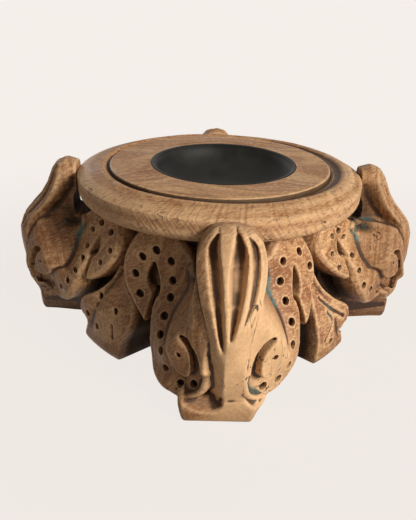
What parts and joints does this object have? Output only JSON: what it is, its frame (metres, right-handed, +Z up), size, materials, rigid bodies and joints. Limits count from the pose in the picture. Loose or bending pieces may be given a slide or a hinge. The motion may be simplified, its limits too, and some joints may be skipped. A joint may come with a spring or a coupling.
{
  "type": "carved wooden base",
  "caption": "Low carved wooden base shaped like an upturned column capital, with scrolled corners, pendant leaves, a turned ring top and a lift-out metal dish.",
  "frame": {"origin": "centre of the base on the floor that it stands on", "axes": "+Z up along the turned ring's axis; -Y towards the front corner, so the corners lie on the X and Y axes and the pendant leaves between them"},
  "size_m": [0.4232, 0.4232, 0.176],
  "materials": {
    "carved_timber": "worn, waxed, with tool marks and dark hollows",
    "ring_timber": "worn, waxed, fine turned tool marks",
    "disc_timber": "waxed, fine straight grain",
    "inner_timber": "bare, dark",
    "dish_iron": "blackened satin"
  },
  "bodies": {
    "base": {"core_block": "inner_timber", "neck_ring": "ring_timber", "top_disc": "disc_timber", "corner_front": "carved_timber", "corner_right": "carved_timber", "corner_rear": "carved_timber", "corner_left": "carved_timber", "pendant_front_left": "carved_timber", "pendant_front_right": "carved_timber", "pendant_rear_right": "carved_timber", "pendant_rear_left": "carved_timber", "corner_dowels": "inner_timber", "pendant_dowels": "inner_timber", "ring_dowels": "inner_timber"},
    "dish": {"metal_dish": "dish_iron"}
  },
  "joints": [
    {"name": "dish_lift", "type": "slide", "parent": "base", "child": "dish", "axis": [0, 0, 1], "range_m": [0, 0.04]}
  ]
}
